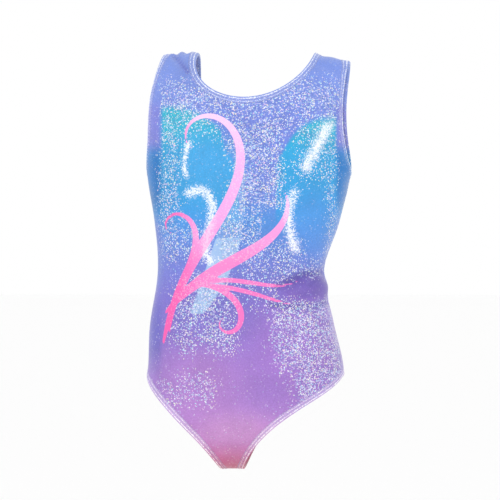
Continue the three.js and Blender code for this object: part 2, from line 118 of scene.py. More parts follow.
def measure(name, level):
    """One measure of the body at each level, smooth through the stations."""
    values = GIRTH[name]
    slopes = np.gradient(values)
    slopes[1:-1] = (values[2:] - values[:-2]) / (LEVELS[2:] - LEVELS[:-2])
    slopes[[0, -1]] = [(values[1] - values[0]) / (LEVELS[1] - LEVELS[0]),
                       (values[-1] - values[-2]) / (LEVELS[-1] - LEVELS[-2])]
    i = np.clip(np.searchsorted(-LEVELS, -np.asarray(level), side="right") - 1, 0, len(LEVELS) - 2)
    span = LEVELS[i + 1] - LEVELS[i]
    t = np.clip((level - LEVELS[i]) / span, 0, 1)
    s = 1 - t
    return (values[i] * s * s * (1 + 2 * t) + values[i + 1] * t * t * (3 - 2 * t)
            + slopes[i] * span * t * s * s - slopes[i + 1] * span * t * t * s)


def squareness(level):
    return 3 - 0.6 * smooth(-level, 120, 226)


def roll(drop):
    """Level and depth share at a drop along the cloth."""
    shoulder = HALF_PI * (1 - drop / SHOULDER_ROLL)
    below = drop - SHOULDER_ROLL
    seat = HALF_PI * (below - BODY_DROP) / SEAT_ROLL
    where = [drop < SHOULDER_ROLL, below < BODY_DROP]
    level = np.select(where, [-SHOULDER_RISE * (1 - np.sin(shoulder)), -SHOULDER_RISE - below],
                      CROTCH_LEVEL + SEAT_DROP * (1 - np.sin(seat)))
    return level, np.select(where, [np.cos(shoulder), 1.0], np.cos(seat))


def drop_at(level):
    level = np.asarray(level, float)
    seat = CROTCH_LEVEL + SEAT_DROP
    top = SHOULDER_ROLL * (1 - np.arcsin(np.clip(1 + level / SHOULDER_RISE, -1, 1)) / HALF_PI)
    turn = np.arcsin(np.clip((seat - level) / SEAT_DROP, 0, 1))
    return np.select([level > -SHOULDER_RISE, level >= seat],
                     [top, SHOULDER_ROLL - SHOULDER_RISE - level],
                     SHOULDER_ROLL + BODY_DROP + SEAT_ROLL * turn / HALF_PI)


def worn(angle, drop):
    angle, drop = np.asarray(angle, float), np.asarray(drop, float)
    level, depth = roll(drop)
    n = squareness(level)
    s, c = np.sin(angle), np.cos(angle) / SECTION_DEPTH
    k = (np.abs(s) ** n + np.abs(c) ** n) ** (-1 / n)
    side = measure("half", level) * s * k
    reach = np.where(c > 0, measure("front", level), measure("back", level)) * depth
    fade = np.maximum(1 - np.abs(drop) / SHOULDER_ROLL, 0) ** 2
    fall = np.where(side > 0, 12.5, 2.0) * fade * (np.maximum(np.abs(side) - 42, 0) / 59) ** 2
    return np.stack([measure("centre", level) + side, -reach * c * k, level - fall], -1)


def on_front(path):
    """Where a path of (across, level) laid out flat in front lies on the worn cloth."""
    places = []
    for across, level in path:
        table = np.radians(np.linspace(-96, 96, 129))
        points = worn(table, np.full(129, float(drop_at(level))))
        seen = points[:, 0] * math.cos(TURN) + points[:, 1] * math.sin(TURN)
        angle = np.interp(across, seen[8:-8], table[8:-8])
        places.append(worn(angle, float(drop_at(level))))
    return np.array(places)


def curve(path, spacing=1.6):
    """A smooth run of rows through the rows of path, about spacing apart."""
    path = np.array(path, float)
    ends = np.vstack([2 * path[0] - path[1], path, 2 * path[-1] - path[-2]])
    rows = []
    for a, b, c, d in zip(ends, ends[1:], ends[2:], ends[3:]):
        count = max(int(np.hypot(*(c - b)[:2]) / spacing), 2)
        t = (np.arange(count) / count)[:, None]
        rows.append(b + 0.5 * t * (c - a + t * (2 * a - 5 * b + 4 * c - d + t * (3 * (b - c) + d - a))))
    return np.vstack(rows + [path[-1:]])


def nearest(points, path, widths):
    """How far each point lies outside a stroke of these widths along a path on the cloth."""
    weight = np.array([1, 0.42, 1])
    gaps = [np.linalg.norm((points[i:i + 1500, None] - path[None]) * weight, axis=-1) - widths / 2
            for i in range(0, len(points), 1500)]
    return np.vstack(gaps).min(1) if gaps else np.zeros(0)


# Creases of the worn cloth: path of (across, level), width, rise.
CREASES = [
    ([(84, -225), (70, -227), (56, -228), (42, -234), (28, -240)], 3.6, -3.4),
    ([(84, -257), (60, -261), (40, -260.5), (22, -259)], 3.6, -2.6),
    ([(86, -241), (70, -240), (56, -245), (42, -248)], 10, 4.2),
    ([(76, -234), (66, -236), (60, -240)], 3.5, -1.4),
    ([(68, -247), (60, -249), (50, -249)], 3.5, -1.1),
    ([(-77, -3), (-71, -11), (-63, -22)], 3.6, -2.6),
    ([(-64, -4), (-63, -18), (-58, -32)], 4.5, 1.6),
    ([(-75, -6), (-77, -22)], 5, -1.2),
    ([(66, -14), (78, -16), (92, -22)], 4, -1.3),
    ([(100, -120), (103, -124)], 6, 1.8),
    ([(-52, -389), (-38, -400), (-26, -414)], 5, -1.2),
    ([(-22, -398), (-17, -410), (-15, -422)], 5, -1.3),
    ([(2, -402), (-5, -412), (-9, -422)], 5, 1.2),
    ([(30, -388), (16, -399), (5, -408)], 6, -1.0),
    ([(62, -300), (50, -318), (34, -330)], 14, 0.8),
    ([(-84, -318), (-70, -336), (-56, -350)], 12, 0.8),
    ([(-30, -300), (-10, -322), (6, -352)], 16, -0.7),
]
CREASES = [(on_front(curve(path, 3)), width, rise) for path, width, rise in CREASES]
# The sharpest creases, by their order above, with the width of the painted shade along each, and the ridges
# between the folds at the waist, which get a painted highlight.
PAINTED_CREASE_SHADE = {0: 2.6, 1: 2.4, 3: 1.8, 4: 1.8, 5: 2.2}
HIGHLIT_RIDGES = [on_front(ridge) for ridge in ([(82, -229), (72, -231), (60, -232)],
                                        [(84, -252), (70, -253), (56, -255)],
                                        [(84, -241), (74, -242), (66, -243)])]


def crease(angle, drop):
    """How far the cloth stands off the smooth worn surface."""
    shape = np.shape(angle)
    angle, drop = np.ravel(angle), np.ravel(drop)
    points = worn(angle, drop)
    rise = np.zeros(len(points))
    for path, width, height in CREASES:
        near = np.flatnonzero(np.linalg.norm(points - path.mean(0), axis=1)
                              < np.linalg.norm(path - path.mean(0), axis=1).max() + 3 * width)
        if len(near):
            gap = nearest(points[near], path, np.zeros(len(path)))
            rise[near] += height * np.exp(-(gap / width) ** 2)
    x, z = points[:, 0], points[:, 2]
    gathered = np.exp(-(drop / 24) ** 2)
    rise += gathered * np.where(x < 0, 1.3 * np.sin(x * 0.52 + drop * 0.02), 0.45 * np.sin(x * 0.3 + 1))
    rise -= 2.4 * gathered * smooth(x, 64, 80)
    rise += 0.35 * np.sin(x * 0.055 + z * 0.031) * np.sin(z * 0.047 + 1) * smooth(-z, 60, 130)
    gap = np.abs(np.abs(angle) - HALF_PI) * SIDE_RADIUS
    rise -= 0.5 * np.exp(-(gap / 1.3) ** 2) * (drop > 8)
    return rise.reshape(shape)


def frame_at(angle, drop):
    """The point of the creased cloth, its outward normal and the directions along the cloth."""
    around = (worn(angle + 0.004, drop) - worn(angle - 0.004, drop)) / 0.008
    down = (worn(angle, drop + 0.3) - worn(angle, drop - 0.3)) / 0.6
    normal = np.cross(down, around)
    normal /= np.linalg.norm(normal, axis=-1, keepdims=True)
    return worn(angle, drop), normal, around, down


def lifted(places, height):
    point, normal = frame_at(places[..., 0], places[..., 1])[:2]
    return point + normal * (height + crease(places[..., 0], places[..., 1]))[..., None]


# The cut. The edges are rings of (angle, drop) on the folds of the hems.
STRAP_COLUMNS, STRAP_ROWS, NECK_COLUMNS = 25, 30, 70
ARMHOLE_ROWS, SIDE_ROWS, RIB_ROWS, LEG_ROWS = 60, 78, 18, 60
NECK_STEPS, COLUMNS = 2 * STRAP_ROWS + NECK_COLUMNS, 2 * STRAP_COLUMNS + NECK_COLUMNS
HEM_WIDTH = 7
NECK_HALF_WIDTH, FRONT_SCOOP, BACK_SCOOP = 60, 48.3, 96


def angle_at(side, level, behind):
    n = squareness(level)
    share = np.minimum(np.abs(side) / measure("half", level), 1)
    angle = np.arctan2(share, (1 - share ** n) ** (1 / n) * SECTION_DEPTH) * np.sign(side)
    return np.where(side >= 0, 1, -1) * math.pi - angle if behind else angle


def evenly(count, edge):
    fine = edge(np.linspace(0, 1, 40 * count + 1))
    run = np.r_[0, np.cumsum(np.linalg.norm(np.diff(worn(fine[:, 0], fine[:, 1]), axis=0), axis=1))]
    even = np.linspace(0, run[-1], count + 1)
    return np.stack([np.interp(even, run, fine[:, 0]), np.interp(even, run, fine[:, 1])], -1)


def neck_edge(behind):
    scoop = BACK_SCOOP if behind else FRONT_SCOOP

    def edge(t):
        side, level = NECK_HALF_WIDTH * np.cos(math.pi * t), -scoop * np.sin(math.pi * t)
        return np.stack([angle_at(side, level, behind), drop_at(level)], -1)
    return evenly(NECK_STEPS, edge)


def armhole_edge(sign, behind):
    turn, end = float(drop_at(-74)), float(drop_at(UNDERARM_LEVEL))
    straight = turn / (turn + (end - turn) * HALF_PI)

    def edge(t):
        rounded = np.maximum((t - straight) / (1 - straight), 0) * HALF_PI
        drop = np.where(t < straight, turn * t / straight, turn + (end - turn) * np.sin(rounded))
        angle = HALF_PI - math.radians(18.2) * np.cos(rounded)
        return np.stack([sign * (math.pi - angle if behind else angle), drop], -1)
    return evenly(ARMHOLE_ROWS, edge)


def leg_edge(sign, behind):
    top = float(measure("half", LEG_TOP_LEVEL))
    upper, lower = ((-9, -348), (-75, -372)) if behind else ((-4, -352), (-69, -382))
    a, b = np.array([top, LEG_TOP_LEVEL]), np.array([top + upper[0], upper[1]])
    c, d = np.array([top + lower[0], lower[1]]), np.array([12, CROTCH_LEVEL])

    def edge(t):
        t = t[:, None]
        s = 1 - t
        side, level = (a * s ** 3 + 3 * b * s * s * t + 3 * c * s * t * t + d * t ** 3).T
        drop = drop_at(level)
        drop[-1] = FULL_DROP
        return np.stack([angle_at(sign * side, level, behind), drop], -1)
    return evenly(LEG_ROWS, edge)


def moved_in(fold, width, hole):
    """An edge moved into the cloth: each station steps square to the edge, away from the hole."""
    point, normal, around, down = frame_at(fold[:, 0], fold[:, 1])
    inward = np.cross(normal, np.roll(point, -1, 0) - np.roll(point, 1, 0))
    inward /= np.linalg.norm(inward, axis=1, keepdims=True)
    inward *= np.sign(np.sum(inward * (point - hole), 1, keepdims=True)) * np.reshape(width, (-1, 1))
    aa, ad, dd = (np.sum(p * q, 1) for p, q in ((around, around), (around, down), (down, down)))
    pa, pd = np.sum(around * inward, 1), np.sum(down * inward, 1)
    det = aa * dd - ad * ad
    return fold + np.stack([(pa * dd - pd * ad) / det, (pd * aa - pa * ad) / det], -1)


class Edge:
    """A hemmed edge: its fold, the line its hem is stitched to, and the way into the cloth."""

    def __init__(self, front, back):
        self.fold = np.vstack([front, back[1:-1][::-1]])
        self.hole = worn(self.fold[:, 0], self.fold[:, 1]).mean(0)
        self.rails = []
        for places in (self.fold, self.at(HEM_WIDTH)):
            normal = frame_at(places[:, 0], places[:, 1])[1]
            self.rails.append((lifted(places, np.zeros(len(places))), normal))

    def at(self, width):
        return moved_in(self.fold, width, self.hole)

    def on_hem(self, station, width, height):
        """Points of the hem: station counts round the ring, width is in from the fold."""
        count = len(self.fold)
        station, share = np.asarray(station, float) % count, np.asarray(width) / HEM_WIDTH
        i = station.astype(int)
        f = (station - i)[..., None]
        (fold, fold_up), (sewn, sewn_up) = [
            [rail[i] * (1 - f) + rail[(i + 1) % count] * f for rail in pair] for pair in self.rails]
        share = np.broadcast_to(share, station.shape)[..., None]
        normal = fold_up * (1 - share) + sewn_up * share
        normal /= np.linalg.norm(normal, axis=-1, keepdims=True)
        height = np.broadcast_to(height, station.shape)[..., None]
        return fold * (1 - share) + sewn * share + normal * height, normal


EDGES = {
    "neck": Edge(neck_edge(False), neck_edge(True)),
    "armhole_left": Edge(armhole_edge(1, False), armhole_edge(1, True)),
    "armhole_right": Edge(armhole_edge(-1, False), armhole_edge(-1, True)),
    "leg_left": Edge(leg_edge(1, False), leg_edge(1, True)),
    "leg_right": Edge(leg_edge(-1, False), leg_edge(-1, True)),
}


def line(a, b, count):
    t = np.linspace(0, 1, count + 1)[:, None]
    return a * (1 - t) + b * t


def fill(top, bottom, left, right):
    """Places filled in between four edges that share their corners."""
    u = np.linspace(0, 1, len(top))[None, :, None]
    v = np.linspace(0, 1, len(left))[:, None, None]
    corner = (top[0] * (1 - u) + top[-1] * u) * (1 - v) + (bottom[0] * (1 - u) + bottom[-1] * u) * v
    return (left[:, None] * (1 - u) + right[:, None] * u) + (top * (1 - v) + bottom * v) - corner


def panel_grid(behind, inset, hair):
    """The places of one panel, whose edges lie inset from the folds, cut away between the straps."""
    def half(name, count):
        places = EDGES[name].at(inset)
        if not behind:
            return places[:count + 1]
        ends = np.abs(places[[0, count]]) * [[-np.sign(places[0, 0]), 1], [-np.sign(places[count, 0]), 1]]
        back = places[count + 1:][::-1].copy()
        back[:, 0] -= np.sign(back[:, 0]) * math.pi
        return np.vstack([ends[:1], back, ends[1:]])

    neck = half("neck", NECK_STEPS)
    arms = [half("armhole_left", ARMHOLE_ROWS), half("armhole_right", ARMHOLE_ROWS)]
    legs = [half("leg_left", LEG_ROWS), half("leg_right", LEG_ROWS)]
    straps = []
    for arm, inner in zip(arms, (neck[:STRAP_ROWS + 1], neck[-STRAP_ROWS - 1:][::-1])):
        outer = arm[:STRAP_ROWS + 1]
        straps.append(fill(line(outer[0], inner[0], STRAP_COLUMNS),
                           line(outer[-1], inner[-1], STRAP_COLUMNS), outer, inner))
    cut = np.full((STRAP_ROWS, NECK_COLUMNS - 1, 2), np.nan)
    grid = [np.concatenate([straps[0][:-1], cut, straps[1][:-1, ::-1]], axis=1)]
    sides = [line(arm[-1], leg[0], SIDE_ROWS) for arm, leg in zip(arms, legs)]
    left, right = [np.vstack([arm[STRAP_ROWS:], side[1:RIB_ROWS + 1]]) for arm, side in zip(arms, sides)]
    chest_top = np.vstack([straps[0][-1, :-1], neck[STRAP_ROWS:-STRAP_ROWS], straps[1][-1, :-1][::-1]])
    grid.append(fill(chest_top, line(left[-1], right[-1], COLUMNS), left, right))
    ends = [np.vstack([side[RIB_ROWS + 1:-1], leg]) for side, leg in zip(sides, legs)]
    grid.append(np.stack([line(a, b, COLUMNS) for a, b in zip(*ends)]))
    grid = np.concatenate(grid)
    grid[..., 0] = np.clip(grid[..., 0], -HALF_PI + hair / SIDE_RADIUS, HALF_PI - hair / SIDE_RADIUS)
    grid[..., 1] = np.clip(grid[..., 1], hair, FULL_DROP - hair)
    if behind:
        grid[..., 0] += math.pi
    return grid


def new_piece(name, points, faces, material):
    """A mesh of one material, in millimetres, with its faces turned outward."""
    mesh = bpy.data.meshes.new(name)
    mesh.from_pydata((points / 1000).tolist(), [], faces)
    mesh.validate()
    mesh.calc_loop_triangles()
    corners = np.zeros(3 * len(mesh.loop_triangles), int)
    mesh.loop_triangles.foreach_get("vertices", corners)
    a, b, c = (points - points.mean(0))[corners.reshape(-1, 3)].transpose(1, 0, 2)
    if np.sum(a * np.cross(b, c)) < 0:
        mesh.flip_normals()
    mesh.shade_smooth()
    mesh.set_sharp_from_angle(angle=math.radians(58))
    mesh.materials.append(material)
    piece = bpy.data.objects.new(name, mesh)
    bpy.context.scene.collection.objects.link(piece)
    return piece


def shell(name, grid, outer, inner, material):
    """A sheet of cloth over a grid of places, between two heights off the worn surface."""
    kept = ~np.isnan(grid[..., 0])
    number = np.full(kept.shape, -1)
    number[kept] = np.arange(kept.sum())
    squares = np.stack([number[:-1, :-1], number[:-1, 1:], number[1:, 1:], number[1:, :-1]], -1)
    squares = squares[(squares >= 0).all(-1)]
    count = int(kept.sum())
    edges = np.concatenate([squares[:, [k, (k + 1) % 4]] for k in range(4)])
    keys = edges[:, 0] * count + edges[:, 1]
    rim = edges[~np.isin(keys, edges[:, 1] * count + edges[:, 0])]
    walls = np.stack([rim[:, 0], rim[:, 0] + count, rim[:, 1] + count, rim[:, 1]], -1)
    faces = np.vstack([squares, squares[:, ::-1] + count, walls]).tolist()
    places = grid[kept]
    points = np.vstack([lifted(places, np.full(count, float(h))) for h in (outer, inner)])
    return new_piece(name, points, faces, material)


# The print: plain scrolls that grow from one hip. Each is a bend that tightens into a curled tip, as
# (across, level, heading at the root, length, sweep, curl, widest), with its angles in degrees.
SCROLLS = [
    (-88, -300, 80, 320, -75, 330, 11), (-82, -290, 86, 170, -70, 350, 7.5),
    (-86, -268, 50, 190, -60, 140, 12), (-60, -238, 15, 122, -60, 100, 4.6),
    (-64, -240, 5, 126, -45, 40, 4.6), (-54, -240, 4, 108, -120, -240, 6.4),
]


def scroll(across, level, heading, length, sweep, curl, widest):
    """The middle line of one printed scroll on the front, with its width along it."""
    along = np.linspace(0, 1, int(length / 1.6))
    turn = np.radians(heading + sweep * along + curl * along ** 4)
    step = length / len(along)
    run, climb = step * np.cumsum(np.cos(turn)), step * np.cumsum(np.sin(turn))
    middle = on_front(np.column_stack([across + run, level + climb]))
    return middle, widest * np.sin(np.pi * (0.04 + 0.93 * along) ** 0.8)


RIBBONS = [scroll(*shape) for shape in SCROLLS]
STREAK = scroll(-62, -280, 56, 198, 38, 0, 25)
# Painted highlights: patches painted near white, with lower roughness, as (across, level, width) down their
# middles.
PAINTED_GLEAMS = [
    curve([(-61.5, -96, 3), (-64.5, -106, 8), (-66, -117, 8), (-64.5, -128, 3)]),
    curve([(-62, -146, 8), (-50, -143, 15), (-42, -148, 17), (-38, -158, 13), (-39, -175, 9),
           (-43, -192, 9), (-44, -206, 8), (-40, -214, 3)]),
    curve([(80, -78, 6), (73, -90, 13), (65, -105, 14), (57, -119, 8)]),
    curve([(45, -146, 4), (40, -160, 13), (40, -178, 14), (43, -193, 9), (46, -202, 3)]),
]
PAINTED_GLEAMS = [(on_front(painted_gleam[:, :2]), painted_gleam[:, 2]) for painted_gleam in PAINTED_GLEAMS]
# The dyed ground down the middle, and down the two wings over the chest, in sRGB.
GROUND = [(0, 118, 146, 226), (-40, 122, 146, 228), (-75, 116, 136, 226), (-150, 112, 140, 228),
          (-200, 106, 134, 222), (-225, 116, 124, 214), (-250, 122, 112, 206), (-300, 138, 112, 202),
          (-345, 154, 120, 207), (-375, 176, 126, 204), (-396, 192, 126, 194), (-410, 197, 116, 170),
          (-420, 194, 86, 134), (-428, 182, 52, 94), (-434, 150, 28, 60)]
WINGS = [(-50, 34, 186, 206), (-80, 30, 180, 212), (-105, 36, 166, 222), (-150, 44, 160, 226),
         (-190, 78, 146, 226), (-215, 104, 136, 222)]
WING_TOP = [(-120, -58), (-88, -57), (-70, -57.5), (-54, -63), (-40, -72), (-30, -80), (-25, -101),
            (-17, -112), (-12, -130), (-6, -300), (24, -300), (28, -112), (36, -99), (44, -87),
            (54, -77), (67, -71), (91, -67), (120, -67)]
# The ribbons' ink by level, and what it turns to at the hip the scrolls grow from.
INK = [(-70, 255, 204, 242), (-110, 255, 182, 236), (-160, 255, 168, 230), (-195, 255, 150, 216),
       (-215, 255, 128, 200), (-260, 255, 112, 190)]
HOT_INK = (255, 88, 172)
# What a point well outside every ribbon is given for its distance, in millimetres.
OUTSIDE = 9.0
# Glitter of foil dots with painted glints, thickest where the dots catch the light: (across from, across to,
# level from, level to, softness, strength).
GLITTER_GLINT_ZONES = [
    (-88, 92, -80, -30, 12, 0.75), (-90, -70, -215, -30, 9, 0.7), (76, 87, -222, -30, 7, 0.75),
    (-80, -22, -98, -52, 12, 0.5), (-30, -8, -205, -85, 8, 0.85), (-22, 34, -160, -74, 6, 0.95),
    (-30, 12, -215, -150, 9, 0.7), (46, 88, -136, -72, 10, 0.6), (-72, -48, -215, -176, 8, 0.6),
    (-10, 74, -262, -192, 12, 0.6), (-76, -14, -306, -228, 12, 0.8), (-80, -34, -362, -330, 11, 0.5),
    (-92, -72, -372, -336, 8, 0.6), (22, 100, -366, -252, 15, 0.95), (6, 40, -300, -262, 12, 0.55),
]
# Ovals where few painted glints of the glitter show, as (middle, half sizes).
BARE = [((-42, -128), (24, 40)), ((14, -352), (34, 40)), ((60, -243), (30, 12)), ((66, -176), (14, 40)),
        ((8, -288), (12, 22))]


def srgb(colour):
    colour = np.asarray(colour, float) / 255
    return np.where(colour < 0.04045, colour / 12.92, ((colour + 0.055) / 1.055) ** 2.4)


def ramp(stops, level):
    stops = np.array(stops[::-1], float)
    return np.stack([np.interp(level, stops[:, 0], stops[:, k]) for k in (1, 2, 3)], -1)


def blot(across, level, centre, size, soft=1.0):
    """1 in the middle of an oval, falling to 0 outside it."""
    gap = np.hypot((across - centre[0]) / size[0], (level - centre[1]) / size[1])
    return 1 - smooth(gap, 1 - 0.6 * soft, 1 + 0.6 * soft)


def dyed_with_painted_light(points, across, level, behind, reverse, pale):
    """The dyed colour of each point, with painted shade and painted highlights over the waist folds and
    creases, and its share of the wing colours.
    """
    ground = ramp(GROUND, level)

    def paint_over(colour, share):
        nonlocal ground
        share = np.clip(share, 0, 1)[:, None]
        ground = ground * (1 - share) + np.asarray(colour, float) * share

    shown = np.where(behind, np.abs(across) + 12, across)
    edge = np.interp(shown, *np.array(WING_TOP, float).T)
    wing = smooth(edge - level, -3, 5) * smooth(level, -222, -165)
    wing = np.maximum(wing, 0.7 * smooth(-level, 145, 182) * smooth(level, -224, -176))
    outer = smooth(np.abs(across + 1), 86, 93)
    paint_over(ramp(WINGS, level), wing * (1 - outer * smooth(level, -122, -90)))
    paint_over((124, 130, 218), outer * smooth(level, -122, -90) * smooth(-level, 48, 62))
    paint_over((0, 118, 196), outer * smooth(level, -180, -150) * (1 - smooth(level, -116, -92)))
    paint_over((92, 120, 212), outer * smooth(level, -262, -205) * (1 - smooth(level, -190, -160)))
    paint_over((100, 98, 194), outer * 0.8 * smooth(level, -345, -300) * (1 - smooth(level, -270, -235)))
    paint_over((62, 166, 230), ~behind * blot(across, level, (-42, -122), (30, 34)) * 0.9)
    paint_over((78, 150, 228), ~behind * blot(across, level, (66, -178), (22, 34)) * 0.6)
    # Painted shade over the fold band at the waist, on the cloth that faces forward.
    forward = ~behind * smooth(-points[:, 1], -6, 16)
    paint_over((104, 86, 182), forward * blot(across, level, (62, -243), (32, 15), 0.6))
    paint_over((186, 128, 202), blot(across, level, (-50, -340), (50, 40)) * 0.6)
    paint_over((172, 118, 204), blot(across, level, (50, -305), (56, 56)) * 0.6)
    paint_over((206, 150, 206), smooth(-level, 352, 386) * (1 - smooth(-level, 392, 408))
        * blot(across, level, (-14, -386), (34, 26)) * 0.6)
    paint_over((255, 255, 255), pale * (1 - smooth(-level, 398, 412)) * (1 - reverse))
    paint_over((236, 232, 240), reverse * 0.8 * (1 - smooth(-level, 390, 410)))

    # Painted shade along the sharpest creases, stronger at the waist folds.
    for order, width in PAINTED_CREASE_SHADE.items():
        path = CREASES[order][0]
        near = np.flatnonzero(np.linalg.norm(points - path.mean(0), axis=1) < 50)
        painted_shade = np.zeros(len(points))
        painted_shade[near] = np.exp(-(nearest(points[near], path, np.zeros(len(path))) / width) ** 2)
        paint_over((84, 72, 164), painted_shade * ~behind * (0.8 if path[0, 2] < -200 else 0.45))
    # Painted highlights along the ridges between the waist folds.
    near = np.flatnonzero(~behind & (np.abs(level + 242) < 20) & (across > 40))
    for ridge in HIGHLIT_RIDGES:
        light = np.zeros(len(points))
        light[near] = np.exp(-(nearest(points[near], ridge, np.zeros(3)) / 1.5) ** 2)
        paint_over((176, 160, 226), light * 0.55)
    paint_over((146, 28, 60), behind * smooth(-level, 384, 406) * 0.75)
    return ground, wing


def glinting_glitter(across, level, behind, wing):
    """How thick the glitter and its painted glints lie on each point, from 0 to 1."""
    glitter_glints = np.zeros(len(across))
    for x0, x1, z0, z1, soft, strength in GLITTER_GLINT_ZONES:
        inside = (smooth(across, x0 - soft, x0 + soft) * smooth(-across, -x1 - soft, -x1 + soft)
                  * smooth(level, z0 - soft, z0 + soft) * smooth(-level, -z1 - soft, -z1 + soft))
        glitter_glints = np.maximum(glitter_glints, inside * strength)
    for centre, size in BARE:
        glitter_glints *= 1 - ~behind * blot(across, level, centre, size, 0.8)
    return np.where(behind, 0.45 * smooth(level, -330, -230) + 0.3 * wing, glitter_glints)


def set_print(piece, angle, reverse=None, pale=0.0, shine=0.0, shade=1.0, dull=1.0):
    """Stores the print on a piece's points: ground and ribbon colours, how far each point lies
    outside a ribbon and the streak, glitter with painted glints, and painted highlights. reverse is 1 on
    points of the cloth's undyed wrong side; pale is more white, shine is more painted highlight, shade is
    the share of the colour left under painted shade, and dull is the share of glitter that shows."""
    mesh = piece.data
    count = len(mesh.vertices)
    points = np.zeros(3 * count)
    mesh.vertices.foreach_get("co", points)
    points = points.reshape(-1, 3) * 1000
    behind = np.abs((angle + math.pi) % (2 * math.pi) - math.pi) > HALF_PI + 0.001
    across = points[:, 0] * math.cos(TURN) + points[:, 1] * math.sin(TURN)
    level = points[:, 2]
    reverse = np.zeros(count) if reverse is None else reverse
    ground, wing = dyed_with_painted_light(points, across, level, behind, reverse, pale)
    ground = ground * np.reshape(shade, (-1, 1))
    hot = smooth(-across, 48, 84)[:, None]
    ink = ramp(INK, level) * (1 - hot) + np.array(HOT_INK) * hot

    ribbon, streak, gloss_and_painted_highlight = np.full(count, OUTSIDE), np.full(count, OUTSIDE), np.zeros(count)
    front = np.flatnonzero(~behind & (reverse < 0.5))
    for path, widths in RIBBONS:
        ribbon[front] = np.minimum(ribbon[front], nearest(points[front], path, widths))
    # Painted highlights, strongest down the middle of each gleam.
    for path, widths in PAINTED_GLEAMS:
        gap = nearest(points[front], path, np.zeros(len(path)))
        gloss_and_painted_highlight[front] = np.maximum(gloss_and_painted_highlight[front], 0.92 - gap / (widths.mean() * 0.92))
    gloss_and_painted_highlight = np.clip(np.maximum(gloss_and_painted_highlight, shine), 0, 1) * (1 - reverse)
    streak[front] = nearest(points[front], *STREAK)
    streak = np.where(level > -192, np.maximum(streak, 0.18), streak)
    streak[(level > -84) | (level < -269)] = OUTSIDE
    glitter_glints = glinting_glitter(across, level, behind, wing)
    glitter_glints *= dull * (1 - reverse) * (1 - smooth(-level, 380, 400))

    for name, values in (("ground", ground), ("ink", ink)):
        layer = mesh.attributes.new(name, "FLOAT_COLOR", "POINT")
        layer.data.foreach_set("color", np.hstack([srgb(values), np.ones((count, 1))]).ravel())
    for name, values in (("ribbon", ribbon), ("streak", streak), ("glitter_glints", glitter_glints), ("gloss_and_painted_highlight", gloss_and_painted_highlight)):
        mesh.attributes.new(name, "FLOAT", "POINT").data.foreach_set("value", values)


def material(name, roughness, **values):
    """A new node material, and a way to add a node with its inputs given by name or number."""
    made = bpy.data.materials.new(name)
    made.use_nodes = True
    tree = made.node_tree
    shader = tree.nodes["Principled BSDF"]
    shader.inputs["Roughness"].default_value = roughness
    for key, value in values.items():
        shader.inputs[key.replace("_", " ").title()].default_value = value

    def add(kind, inputs, output=0, **settings):
        node = tree.nodes.new(kind)
        for key, value in settings.items():
            setattr(node, key, value)
        for key, value in inputs.items():
            if isinstance(value, bpy.types.NodeSocket):
                tree.links.new(value, node.inputs[key])
            else:
                node.inputs[key].default_value = value
        return node.outputs[output]
    return made, shader, tree, add


